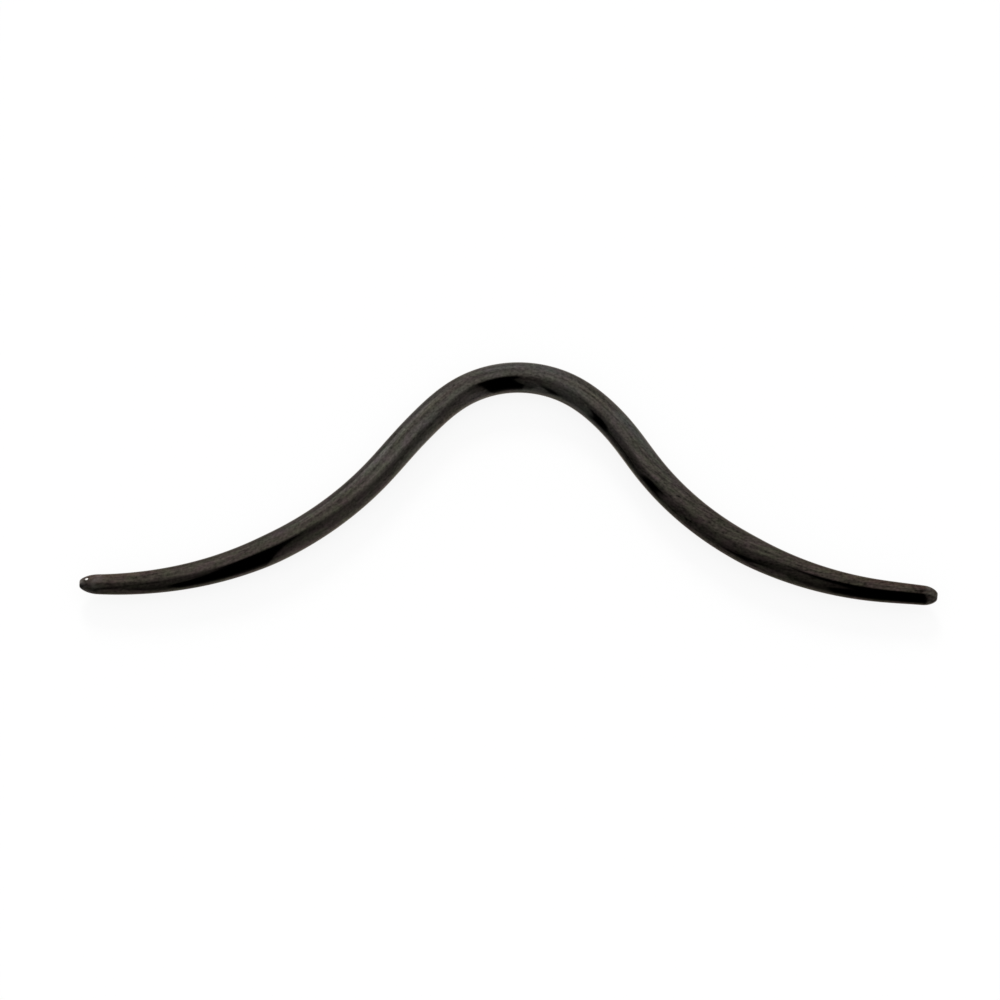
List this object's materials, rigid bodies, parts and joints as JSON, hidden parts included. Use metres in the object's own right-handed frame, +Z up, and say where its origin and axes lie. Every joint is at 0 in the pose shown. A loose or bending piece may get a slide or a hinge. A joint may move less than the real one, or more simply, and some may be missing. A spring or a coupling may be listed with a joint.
{
  "type": "septum ring",
  "caption": "Curved septum bar: one black coated steel rod bent into a flattened M, tapered towards two rounded tips, lying on its side.",
  "frame": {"origin": "middle of the outline seen from above, on the surface that the bar lies on", "axes": "+X along the width from tip to tip, +Y from the tips towards the top of the arch, +Z up from the surface"},
  "size_m": [0.044, 0.0134, 0.0016],
  "materials": {
    "black_coat": "gloss"
  },
  "bodies": {
    "root": {"bar": "black_coat"}
  },
  "joints": []
}
